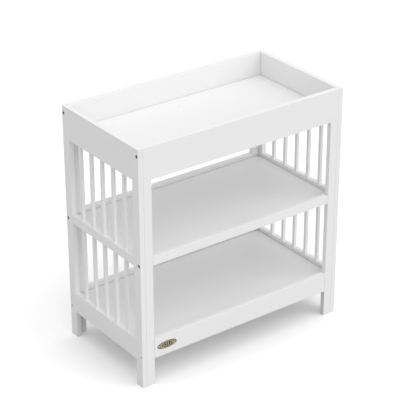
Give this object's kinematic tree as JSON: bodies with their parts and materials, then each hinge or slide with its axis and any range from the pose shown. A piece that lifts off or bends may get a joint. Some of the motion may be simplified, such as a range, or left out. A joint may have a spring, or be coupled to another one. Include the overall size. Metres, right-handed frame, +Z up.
{
  "type": "changing table",
  "caption": "Wooden changing table with an open tray on top, a middle and a lower shelf, slatted end frames on straight legs and an oval badge.",
  "frame": {"origin": "on the floor, in the middle of the table's width and depth", "axes": "+X to the right along the front, +Y from the front to the rear, +Z up"},
  "size_m": [0.875, 0.4638, 0.914],
  "materials": {
    "painted_wood": "white satin paint",
    "painted_panel": "white satin paint on fibreboard",
    "bare_beech": "bare beech",
    "blackened_steel": "black",
    "zinc_steel": "zinc plated",
    "antique_brass": "antique brass, darkened in the recesses"
  },
  "bodies": {
    "root": {"badge_pins": "antique_brass", "badge_plate": "antique_brass", "cleat_screws": "zinc_steel", "dowels": "bare_beech", "front_bottom_apron": "painted_wood", "front_lower_cleat": "painted_wood", "front_middle_cleat": "painted_wood", "front_middle_rail": "painted_wood", "front_tray_apron": "painted_wood", "front_tray_cleat": "painted_wood", "insert_nuts": "zinc_steel", "large_connector_bolts": "blackened_steel", "left_bottom_end_rail": "painted_wood", "left_front_leg_strip": "painted_wood", "left_front_post": "painted_wood", "left_lower_slat_1": "painted_wood", "left_lower_slat_2": "painted_wood", "left_lower_slat_3": "painted_wood", "left_lower_slat_4": "painted_wood", "left_lower_slat_5": "painted_wood", "left_middle_end_rail": "painted_wood", "left_rear_leg_strip": "painted_wood", "left_rear_post": "painted_wood", "left_tray_end_board": "painted_wood", "left_upper_slat_1": "painted_wood", "left_upper_slat_2": "painted_wood", "left_upper_slat_3": "painted_wood", "left_upper_slat_4": "painted_wood", "left_upper_slat_5": "painted_wood", "lower_end_cleats": "painted_wood", "lower_shelf": "painted_panel", "middle_end_cleats": "painted_wood", "middle_shelf": "painted_panel", "panel_screws": "zinc_steel", "rear_bottom_apron": "painted_wood", "rear_lower_cleat": "painted_wood", "rear_middle_cleat": "painted_wood", "rear_middle_rail": "painted_wood", "rear_tray_apron": "painted_wood", "rear_tray_cleat": "painted_wood", "right_bottom_end_rail": "painted_wood", "right_front_leg_strip": "painted_wood", "right_front_post": "painted_wood", "right_lower_slat_1": "painted_wood", "right_lower_slat_2": "painted_wood", "right_lower_slat_3": "painted_wood", "right_lower_slat_4": "painted_wood", "right_lower_slat_5": "painted_wood", "right_middle_end_rail": "painted_wood", "right_rear_leg_strip": "painted_wood", "right_rear_post": "painted_wood", "right_tray_end_board": "painted_wood", "right_upper_slat_1": "painted_wood", "right_upper_slat_2": "painted_wood", "right_upper_slat_3": "painted_wood", "right_upper_slat_4": "painted_wood", "right_upper_slat_5": "painted_wood", "small_connector_bolts": "zinc_steel", "tray_end_cleats": "painted_wood", "tray_floor": "painted_panel"}
  },
  "joints": []
}
